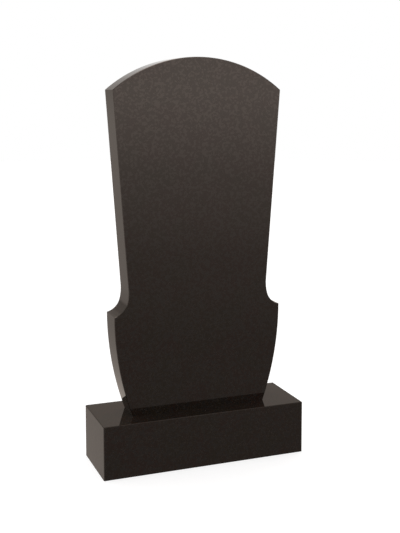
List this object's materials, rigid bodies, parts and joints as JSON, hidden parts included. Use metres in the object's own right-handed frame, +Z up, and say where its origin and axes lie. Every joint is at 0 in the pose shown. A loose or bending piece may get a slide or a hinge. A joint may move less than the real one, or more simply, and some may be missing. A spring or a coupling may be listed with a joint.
{
  "type": "headstone",
  "caption": "Upright slab of polished black granite with an arched top, hollowed shoulders and an inward-curving lower part, standing on a plain rectangular plinth of the same stone.",
  "frame": {"origin": "centre of the plinth's underside, on the ground", "axes": "+Z up; the slab's front looks along -Y; +X to the right of someone who faces the front"},
  "size_m": [0.6, 0.2, 1.15],
  "materials": {
    "slab_granite": "polished fine-grained black granite (gabbro-diabase), mirror gloss on every face that shows",
    "plinth_granite": "polished fine-grained black granite (gabbro-diabase), sawn underside"
  },
  "bodies": {
    "root": {"slab": "slab_granite", "plinth": "plinth_granite"}
  },
  "joints": []
}
